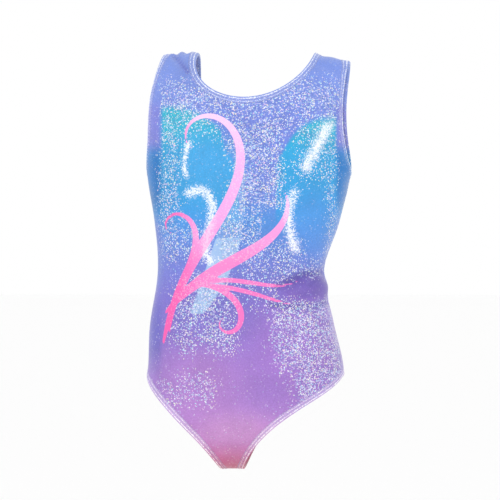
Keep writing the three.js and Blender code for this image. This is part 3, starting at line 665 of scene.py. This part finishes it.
def printed_cloth():
    made, shader, tree, add = material("printed foil spandex", 0.4, sheen_weight=0.15, sheen_roughness=0.4)
    where = add("ShaderNodeTexCoord", {}, "Object")

    def stored(name, output="Fac"):
        return add("ShaderNodeAttribute", {}, output, attribute_name=name)

    def maths(operation, a, b=0.0, clamp=False):
        return add("ShaderNodeMath", {0: a, 1: b}, operation=operation, use_clamp=clamp)

    def mix(share, a, b, kind="MIX"):
        return add("ShaderNodeMix", {0: share, 6: a, 7: b}, 2, data_type="RGBA", blend_type=kind)

    def step(value, low, high, to_low=0.0, to_high=1.0):
        return add("ShaderNodeMapRange", {0: value, 1: low, 2: high, 3: to_low, 4: to_high},
                   interpolation_type="SMOOTHSTEP")

    def noise(scale, detail=2.0):
        return add("ShaderNodeTexNoise", {"Vector": where, "Scale": scale, "Detail": detail})

    # Dye: a little cloudy, with the ribbons and the pale streak printed over it.
    cloud = step(noise(28.0, 3.0), 0.3, 0.7, 0.86, 0.97)
    grain = step(noise(700.0, 2.0), 0.3, 0.7, 0.92, 1.07)
    cloud = maths("MULTIPLY", cloud, grain)
    cloudy = add("ShaderNodeCombineColor", {0: cloud, 1: cloud, 2: cloud})
    ground = mix(1.0, stored("ground", "Color"), cloudy, "MULTIPLY")
    streak_strength = step(stored("streak"), -0.5, 0.6, 0.72, 0.0)
    ground = mix(streak_strength, ground, (0.42, 0.62, 0.86, 1))
    on_ribbon = step(stored("ribbon"), -0.3, 0.35, 1.0, 0.0)
    colour = mix(maths("MULTIPLY", on_ribbon, 0.94), ground, stored("ink", "Color"))

    # Glitter: foil dots of random brightness and tint, painted as bright glints in the base colour, with the
    # colour darker between them.
    strength = stored("glitter_glints")
    flecks = []
    for scale, reach in ((1000.0, 0.50), (640.0, 0.42)):
        inputs = {"Vector": where, "Scale": scale, "Randomness": 1.0}
        cells = add("ShaderNodeTexVoronoi", inputs, "Color")
        distance = add("ShaderNodeTexVoronoi", inputs, "Distance")
        parts = tree.nodes.new("ShaderNodeSeparateColor")
        tree.links.new(cells, parts.inputs[0])
        flecks.append((parts.outputs, distance, reach))
    shares = []
    patchy = step(noise(75.0, 3.0), 0.32, 0.68, 0.6, 1.25)
    dense = maths("MULTIPLY", strength, patchy, True)
    for (bright, tint, size), distance, reach in flecks:
        lit = step(maths("SUBTRACT", maths("MULTIPLY", dense, 0.38), bright), -0.05, 0.05)
        dot = step(distance, reach, reach + 0.16, 1.0, 0.0)
        shares.append(maths("MULTIPLY", maths("MULTIPLY", lit, dot), step(size, 0.0, 1.0, 0.55, 1.0)))
    fleck = maths("MAXIMUM", *shares)
    off_ribbon = maths("MULTIPLY", on_ribbon, 0.62)
    fleck = maths("MULTIPLY", fleck, maths("SUBTRACT", 1.0, off_ribbon))
    tints = add("ShaderNodeValToRGB", {0: flecks[0][0][1]})
    ramp_stops = tints.node.color_ramp
    ramp_stops.interpolation = "CONSTANT"
    for at, tone in ((0.0, (0.90, 0.92, 0.97)), (0.34, (0.42, 0.80, 0.88)), (0.52, (0.93, 0.88, 0.60)),
                     (0.66, (0.90, 0.62, 0.84)), (0.80, (0.55, 0.62, 0.95))):
        stop = ramp_stops.elements.new(at) if at else ramp_stops.elements[0]
        stop.color = (*tone, 1)
    ramp_stops.elements.remove(ramp_stops.elements[-1])
    shade = step(maths("MULTIPLY", dense, flecks[1][0][1]), 0.1, 0.7, 0.0, 0.42)
    shade = maths("MULTIPLY", shade, maths("SUBTRACT", 1.0, on_ribbon))
    colour = mix(shade, colour, (0.10, 0.14, 0.42, 1))
    colour = mix(fleck, colour, tints)

    # Painted highlights: near-white colour and lower roughness, breaking up into dots round their edges.
    ragged = maths("ADD", stored("gloss_and_painted_highlight"), maths("MULTIPLY", maths("SUBTRACT", flecks[0][0][0], 0.5), 0.7))
    painted_gleam = step(maths("ADD", ragged, maths("MULTIPLY", noise(160.0), 0.3)), 0.42, 1.12)
    painted_gleam = maths("MULTIPLY", painted_gleam, maths("SUBTRACT", 1.0, maths("MULTIPLY", on_ribbon, 0.55)))
    colour = mix(maths("MULTIPLY", painted_gleam, 0.88), colour, (0.97, 0.975, 1.0, 1))
    tree.links.new(colour, shader.inputs["Base Color"])
    shiny = maths("MAXIMUM", fleck, painted_gleam)
    tree.links.new(step(shiny, 0.0, 1.0, 0.42, 0.26), shader.inputs["Roughness"])

    # The knit's fine ribs, and the foil standing a hair above it.
    ribs = add("ShaderNodeTexWave", {"Vector": where, "Scale": 420.0, "Distortion": 1.5, "Detail": 1.0},
               "Fac", wave_type="BANDS", bands_direction="X")
    rows = add("ShaderNodeTexWave", {"Vector": where, "Scale": 300.0, "Distortion": 1.0}, "Fac",
               wave_type="BANDS", bands_direction="Z")
    relief = maths("ADD", maths("MULTIPLY", ribs, 0.5), maths("MULTIPLY", rows, 0.5))
    relief = maths("ADD", relief, maths("MULTIPLY", fleck, 0.8))
    normal = add("ShaderNodeBump", {"Strength": 0.35, "Distance": 0.0001, "Height": relief}, "Normal")
    tree.links.new(normal, shader.inputs["Normal"])
    return made


PRINTED = printed_cloth()
front_grid = panel_grid(False, HEM_WIDTH, 0.04)
front = shell("front_cloth", front_grid, CLOTH / 2, -CLOTH / 2, PRINTED)
front_angles = np.tile(front_grid[~np.isnan(front_grid[..., 0])][:, 0], 2)
front_reverse = np.repeat([0.0, 1.0], len(front_angles) // 2)
set_print(front, front_angles, front_reverse)
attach(front, "garment")
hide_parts("front_panel")

# ---- the back panel ----
# The same cloth behind, with the same dyed ground and glitter with painted glints, and a lower scoop at the
# neck.
back_grid = panel_grid(True, HEM_WIDTH, 0.04)
back = shell("back_cloth", back_grid, CLOTH / 2, -CLOTH / 2, PRINTED)
back_angles = np.tile(back_grid[~np.isnan(back_grid[..., 0])][:, 0], 2)
set_print(back, back_angles, np.repeat([0.0, 1.0], len(back_angles) // 2))
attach(back, "garment")
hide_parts("back_panel")

# ---- the hems ----
# Each edge of the cloth is turned to the inside over elastic and coverstitched, which leaves a
# round bead along the fold and a smaller one between the two needle rows.
NEEDLE_ROWS = (3.7, 6.5)


def bead(width):
    """The height of a hem's outside at a width in from its fold."""
    outer = 0.55 * np.sin(np.clip(width / NEEDLE_ROWS[0], 0, 1) * math.pi) ** 0.7
    between = np.clip((width - NEEDLE_ROWS[0]) / (NEEDLE_ROWS[1] - NEEDLE_ROWS[0]), 0, 1)
    inner = 0.4 * np.sin(between * math.pi)
    return CLOTH / 2 + outer + inner - 0.15 * np.exp(-((width - NEEDLE_ROWS[1]) / 0.25) ** 2)


def ring_band(name, edge, section, material):
    """A band round an edge with one section of (width, height) corners."""
    count, corners = len(edge.fold), len(section)
    stations = np.arange(count)
    points = np.concatenate([edge.on_hem(stations, width, height)[0] for width, height in section])
    i, j = np.meshgrid(stations, np.arange(corners))
    k, l = (i + 1) % count, (j + 1) % corners
    faces = np.stack([j * count + i, j * count + k, l * count + k, l * count + i], -1).reshape(-1, 4)
    return new_piece(name, points, faces.tolist(), material)


def node_of(edge_name, kind):
    """The node name of one kind of piece round an edge, such as leg_hem_left."""
    hole, _, side = edge_name.partition("_")
    return f"{hole}_{kind}_{side}" if side else f"{hole}_{kind}"


widths = np.array([HEM_WIDTH, 6.75, 6.5, 6.2, 5.8, 5.1, 4.4, 4.0, 3.7, 3.4, 2.9, 2.3, 1.7, 1.1, 0.6, 0.25])
hem_section = [(w, float(bead(w))) for w in widths]
hem_section[0] = (HEM_WIDTH, CLOTH / 2)
hem_section += [(0, 0.1), (-0.1, -0.7), (-0.05, -1.6), (0.1, -2.2), (0.45, -2.6), (1.2, -2.72),
                (3.7, -2.7), (HEM_WIDTH, -2.7), (HEM_WIDTH, -1.7), (3.7, -1.7), (1.1, -1.65), (0.8, -1.1),
                (1.1, -0.55), (3.7, -0.5), (HEM_WIDTH, -0.5)]
for name, edge in EDGES.items():
    node = node_of(name, "hem")
    hem = ring_band(node + "_piece", edge, hem_section, PRINTED)
    # Painted highlights along the bead crests, and painted shade in the grooves at the needle rows and near
    # the hem's inner edge.
    lit = np.array([0.72 if w in (2.3, 1.7, 5.1) and h > 0 else 0.0 for w, h in hem_section])
    painted_shade = np.array([0.72 if w in (6.5, 6.75, 3.7) and h > 0 else 1.0 for w, h in hem_section])
    set_print(hem, np.tile(edge.fold[:, 0], len(hem_section)), pale=0.3 if "leg" in name else 0.1,
              shine=np.repeat(lit, len(edge.fold)), shade=np.repeat(painted_shade, len(edge.fold)), dull=0.3)
    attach(hem, "garment")
    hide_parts(node)

# ---- the elastics ----
# Flat braided elastic inside every hem, with fine ribs along its length.
def plain_stuff(name, roughness, pattern, inputs, tones, relief, settings=None, **values):
    """A material whose two near tones follow one fine pattern, which also stands up a little."""
    made, shader, tree, add = material(name, roughness, **values)
    inputs = {"Vector": add("ShaderNodeTexCoord", {}, "Object"), **inputs}
    output = "Distance" if pattern == "ShaderNodeTexVoronoi" else "Fac"
    height = add(pattern, inputs, output, **(settings or {}))
    colour = add("ShaderNodeMix", {0: height, 6: (*tones[0], 1), 7: (*tones[1], 1)}, 2, data_type="RGBA")
    tree.links.new(colour, shader.inputs["Base Color"])
    strength, distance = relief
    bump = add("ShaderNodeBump", {"Strength": strength, "Distance": distance, "Height": height}, "Normal")
    tree.links.new(bump, shader.inputs["Normal"])
    return made


ELASTIC = plain_stuff("braided elastic", 0.75, "ShaderNodeTexWave", {"Scale": 260.0, "Distortion": 4.0},
                      ((0.78, 0.77, 0.73), (0.93, 0.92, 0.89)), (0.5, 0.0001))
tops = [(w, -0.8 + (0.0 if k % 2 else -0.08)) for k, w in enumerate(np.linspace(1.35, 6.25, 15))]
bottoms = [(w, -1.4 + (0.0 if k % 2 else 0.08)) for k, w in enumerate(np.linspace(6.25, 1.35, 15))]
for name, edge in EDGES.items():
    node = node_of(name, "elastic")
    elastic = ring_band(node + "_piece", edge, tops + bottoms, ELASTIC)
    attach(elastic, "garment")
    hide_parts(node)

# ---- the coverstitching ----
# Lilac thread: two rows of needle stitches outside each hem, and the looper thread that zigzags
# between them over the hem's inside.
THREAD = plain_stuff("thread", 0.45, "ShaderNodeTexNoise", {"Scale": 900.0},
                     ((0.42, 0.42, 0.80), (0.70, 0.70, 0.95)), (0.5, 0.00008), sheen_weight=0.2)


def threads(name, runs, radius, sides=5):
    """Threads of one radius along runs of (points, normals); a run that ends where it starts closes."""
    points, faces = [], []
    base = 0
    for path, normal in runs:
        closed = np.allclose(path[0], path[-1])
        if closed:
            path, normal = path[:-1], normal[:-1]
        count = len(path)
        if closed:
            ahead = np.roll(path, -1, 0) - np.roll(path, 1, 0)
        else:
            ahead = np.gradient(path, axis=0)
        ahead /= np.linalg.norm(ahead, axis=1, keepdims=True)
        across = np.cross(ahead, normal)
        across /= np.linalg.norm(across, axis=1, keepdims=True)
        up = np.cross(across, ahead)
        turn = np.linspace(0, 2 * math.pi, sides, endpoint=False)[:, None]
        points.append((path[:, None] + radius * (np.cos(turn) * across[:, None] + np.sin(turn) * up[:, None]))
                      .reshape(-1, 3))
        for i in range(count if closed else count - 1):
            k = (i + 1) % count
            for j in range(sides):
                l = (j + 1) % sides
                faces.append([base + i * sides + j, base + i * sides + l, base + k * sides + l,
                              base + k * sides + j])
        if not closed:
            faces.append([base + j for j in range(sides)][::-1])
            faces.append([base + (count - 1) * sides + j for j in range(sides)])
        base += count * sides
    return new_piece(name, np.vstack(points), faces, THREAD)


for name, edge in EDGES.items():
    node = node_of(name, "coverstitch")
    ring_length = np.linalg.norm(np.diff(edge.rails[0][0], axis=0), axis=1).sum()
    count = int(ring_length / 2.9)
    pitch = len(edge.fold) / count
    runs = []
    for row in NEEDLE_ROWS:
        for k in range(count):
            stations = (k + np.array([0.04, 0.2, 0.5, 0.8, 0.96])) * pitch
            heights = float(bead(row)) + np.array([-0.3, 0.12, 0.2, 0.12, -0.3])
            runs.append(edge.on_hem(stations, row, heights))
    stations = np.arange(2 * count + 1) * pitch / 2
    looper_widths = np.where(np.arange(2 * count + 1) % 2, NEEDLE_ROWS[0] + 0.15, NEEDLE_ROWS[1])
    runs.append(edge.on_hem(stations, looper_widths, -2.92))
    for row in NEEDLE_ROWS:
        runs.append(edge.on_hem(np.arange(count + 1) * pitch, row, -2.86))
    stitches = threads(node + "_piece", runs, 0.17)
    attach(stitches, "garment")
    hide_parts(node)

# ---- the front lining ----
# Thin peach mesh lining behind the whole front, caught in the hems and the side seams and left
# loose across its lower edge.
LINING = plain_stuff("lining knit", 0.85, "ShaderNodeTexVoronoi", {"Scale": 1100.0},
                     ((0.80, 0.67, 0.60), (0.86, 0.76, 0.70)), (0.4, 0.0001), sheen_weight=0.3)
lining_grid = panel_grid(False, HEM_WIDTH + 1.4, 1.2)[:-18]
lining = shell("front_lining_piece", lining_grid, -1.45, -2.05, LINING)
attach(lining, "garment")
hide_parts("front_lining")

# ---- the gusset lining ----
# A second, hourglass piece of lining across the crotch seam, stitched at its two ends.
legs = [EDGES[name].at(HEM_WIDTH + 0.9) for name in ("leg_left", "leg_right")]
rows = []
for left_place, right_place in zip(*legs):
    turned = abs(left_place[0]) > HALF_PI + 1e-6
    under = 2 * FULL_DROP - left_place[1] if turned else left_place[1]
    if -78 < under - FULL_DROP < 60 and abs(left_place[0]) < math.pi:
        ends = [[np.sign(a) * math.pi - a if turned else a, under] for a in (left_place[0], right_place[0])]
        rows.append(line(np.array(ends[0]), np.array(ends[1]), 36))
gusset = shell("gusset_lining_piece", np.array(rows), -2.75, -3.35, LINING)
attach(gusset, "garment")
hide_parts("gusset_lining")

# ---- the overlocked seams ----
# Inside, the side and shoulder seam allowances are overlocked together and pressed to the back.
# The thread loops over the trimmed edge about every two millimetres.
ALLOWANCE, SEAM_RADIUS = 5.0, 73


def overlocked(name, node, rows):
    """An allowance over a grid of places two wide, whose second column is the trimmed edge."""
    allowance = np.stack([line(a, b, 4) for a, b in rows])
    strip = shell(name, allowance, -1.6, -2.4, LINING)
    sewn, trimmed = rows[:, 0], rows[:, 1]
    length = np.linalg.norm(np.diff(worn(sewn[:, 0], sewn[:, 1]), axis=0), axis=1).sum()
    count = int(length / 2.2)
    at = np.linspace(0, len(rows) - 1, 4 * count + 1)

    def run_of(column):
        return np.stack([np.interp(at, np.arange(len(rows)), column[:, k]) for k in (0, 1)], -1)

    step = np.arange(4 * count + 1) % 4
    share = np.choose(step, [0.35, 1.02, 1.06, 1.02])[:, None]
    inner, outer = run_of(sewn), run_of(trimmed)
    places = inner * (1 - share) + outer * share
    height = np.choose(step, [-2.5, -2.5, -2.0, -1.5])
    normal = frame_at(places[:, 0], places[:, 1])[1]
    chain = inner * 0.65 + outer * 0.35
    runs = [(lifted(places, height), normal),
            (lifted(chain, np.full(len(chain), -2.55)), frame_at(chain[:, 0], chain[:, 1])[1])]
    loops = threads(name + "_thread", runs, 0.16)
    for piece in (strip, loops):
        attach(piece, "garment")
        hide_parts(node)
    return strip


seam_start = float(drop_at(UNDERARM_LEVEL)) + HEM_WIDTH + 1.8
seam_end = float(drop_at(LEG_TOP_LEVEL)) - HEM_WIDTH - 1.8
for side, sign in (("left", 1), ("right", -1)):
    drops = np.linspace(seam_start, seam_end, 80)
    reach = [sign * (HALF_PI + w * ALLOWANCE / SEAM_RADIUS) for w in (0, 1)]
    rows = np.stack([np.stack([np.full(80, angle), drops], -1) for angle in reach], 1)
    overlocked(f"side_seam_{side}_piece", f"side_seam_{side}", rows)
    neck, arm = EDGES["neck"].at(HEM_WIDTH + 0.9), EDGES[f"armhole_{side}"].at(HEM_WIDTH + 0.9)
    angles = np.linspace(arm[0, 0], neck[0 if sign > 0 else NECK_STEPS, 0], 24)
    rows = np.stack([np.stack([angles, np.full(24, -ALLOWANCE * w)], -1) for w in (0, 1)], 1)
    overlocked(f"shoulder_seam_{side}_piece", f"shoulder_seam_{side}", rows)

# ---- the labels ----
# Two blank satin tapes, each stitched along one edge: a size tab that hangs inside the back of
# the neck, and a care tab that stands off the left side seam.
TAPE = plain_stuff("satin tape", 0.5, "ShaderNodeTexWave", {"Scale": 700.0, "Distortion": 0.6},
                   ((0.88, 0.87, 0.85), (0.95, 0.945, 0.93)), (0.3, 0.00005),
                   {"bands_direction": "DIAGONAL"}, sheen_weight=0.2)


def tab(name, body, hinge, along, hang, width, length):
    """A tape label whose sewn edge is centred on the hinge, with a slight curl towards its end."""
    face = np.cross(along, hang)
    face /= np.linalg.norm(face)
    u, v = np.meshgrid(np.linspace(-0.5, 0.5, 25), np.linspace(0, 1, 25))
    curl = 0.5 * v ** 3 + 0.15 * np.sin(u * 5 + 1) * v * v
    middle = hinge + width * u[..., None] * along + length * v[..., None] * hang + curl[..., None] * face
    points = np.concatenate([(middle + 0.2 * face).reshape(-1, 3), (middle - 0.2 * face).reshape(-1, 3)])
    number = np.arange(625).reshape(25, 25)
    squares = np.stack([number[:-1, :-1], number[:-1, 1:], number[1:, 1:], number[1:, :-1]], -1)
    squares = squares.reshape(-1, 4)
    rim = np.r_[number[0, :-1], number[:-1, -1], number[-1, :0:-1], number[:0:-1, 0]]
    after = np.roll(rim, -1)
    walls = np.stack([rim, rim + 625, after + 625, after], -1)
    label = new_piece(name, points, np.vstack([squares, squares[:, ::-1] + 625, walls]).tolist(), TAPE)
    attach(label, body)
    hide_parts(body)
    runs = []
    for k in range(5):
        across = (k - 2) * width / 5.6 + np.array([-0.9, -0.5, 0.5, 0.9])
        up = np.array([0.1, 0.32, 0.32, 0.1])
        path = hinge + across[:, None] * along + 1.4 * hang + up[:, None] * face
        runs.append((path, np.tile(face, (4, 1))))
    sewn = threads(name + "_stitches", runs, 0.14)
    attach(sewn, body)
    return label


low, high = (np.array(corner) * 1000 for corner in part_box("size_label"))
tab("size_tab", "size_label", np.array([(low[0] + high[0]) / 2, (low[1] + high[1]) / 2, high[2]]),
    np.array([1.0, 0, 0]), np.array([0, 0, -1.0]), 14, 20)
care_drop = float(drop_at(-308))
care_places = np.array([[HALF_PI + ALLOWANCE / 2 / SEAM_RADIUS, care_drop + d] for d in (0, -1, 1)])
care_point, care_normal = frame_at(care_places[:, 0], care_places[:, 1])[:2]
care_point = care_point + care_normal * -3.6
along = care_point[1] - care_point[2]
along /= np.linalg.norm(along)
hang = np.array([-math.sin(math.radians(40)), math.cos(math.radians(40)), 0])
hang -= hang.dot(along) * along
tab("care_tab", "care_label", care_point[0], along, hang / np.linalg.norm(hang), 26, 22)
